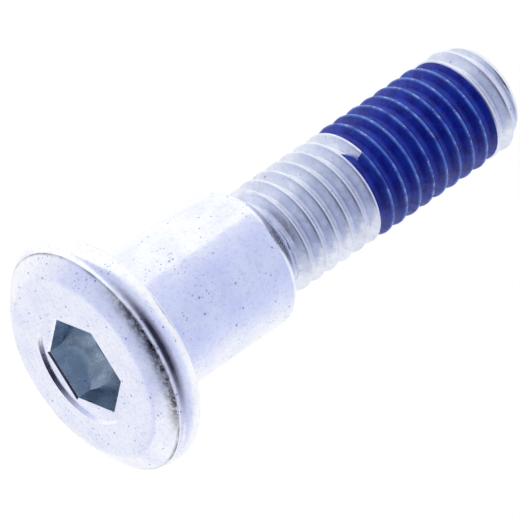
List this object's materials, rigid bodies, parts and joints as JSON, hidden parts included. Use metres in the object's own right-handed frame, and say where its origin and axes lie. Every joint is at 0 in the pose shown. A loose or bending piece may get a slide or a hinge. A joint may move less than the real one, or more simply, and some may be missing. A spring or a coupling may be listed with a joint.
{
  "type": "shoulder bolt",
  "caption": "Round-headed bolt with a hexagon socket, a plain shoulder that a wheel or link turns on, and a metric thread with a blue locking patch.",
  "frame": {"origin": "centre of the flat face of the head, on the bolt's axis", "axes": "+Z along the axis from the head to the tip of the thread; +X through one corner of the hexagon socket"},
  "size_m": [0.0166, 0.0166, 0.0369],
  "materials": {
    "zinc_plated_steel": "bright zinc plating with a faint blue passivated tint, lightly scratched and pitted",
    "blue_nylon": "deep ultramarine nylon melted on to the thread, satin, a little uneven"
  },
  "bodies": {
    "root": {"bolt": "zinc_plated_steel", "locking_patch": "blue_nylon"}
  },
  "joints": []
}
